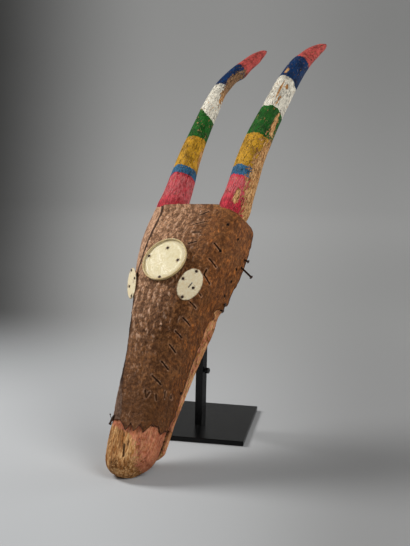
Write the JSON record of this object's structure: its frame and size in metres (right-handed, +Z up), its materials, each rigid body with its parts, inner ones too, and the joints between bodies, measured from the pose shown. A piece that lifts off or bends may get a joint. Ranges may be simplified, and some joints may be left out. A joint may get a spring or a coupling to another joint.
{
  "type": "bozo mask",
  "caption": "Long carved antelope mask with curving painted horns, nailed tin sheets and tin disc eyes, held on a low post with a flat plate.",
  "frame": {"origin": "centre of the underside of the stand's plate", "axes": "+Z up, -Y the way the mask faces, +X to the mask's left; the horns sweep back towards +Y"},
  "size_m": [0.2325, 0.6586, 0.6295],
  "materials": {
    "carved_wood": "matte, painted in worn bands on the horns",
    "rusty_tin": "worn",
    "cream_tin": "satin",
    "nail_iron": "rusty",
    "black_steel": "matte"
  },
  "bodies": {
    "root": {"base_plate": "black_steel", "post_tube": "black_steel", "clamp_screw": "black_steel", "support_rod": "black_steel", "cradle": "black_steel", "mask_wood": "carved_wood", "front_sheet": "rusty_tin", "side_sheet": "rusty_tin", "forehead_lid": "cream_tin", "eye_disc_left": "cream_tin", "eye_disc_right": "cream_tin", "lid_tack_1": "nail_iron", "lid_tack_2": "nail_iron", "lid_tack_3": "nail_iron", "lid_tack_4": "nail_iron", "eye_tack_left_1": "nail_iron", "eye_tack_left_2": "nail_iron", "eye_tack_left_3": "nail_iron", "eye_tack_left_4": "nail_iron", "eye_tack_right_1": "nail_iron", "eye_tack_right_2": "nail_iron", "eye_tack_right_3": "nail_iron", "eye_tack_right_4": "nail_iron", "edge_nail_1": "nail_iron", "edge_nail_2": "nail_iron", "edge_nail_3": "nail_iron", "edge_nail_4": "nail_iron", "bent_nail": "nail_iron"}
  },
  "joints": []
}
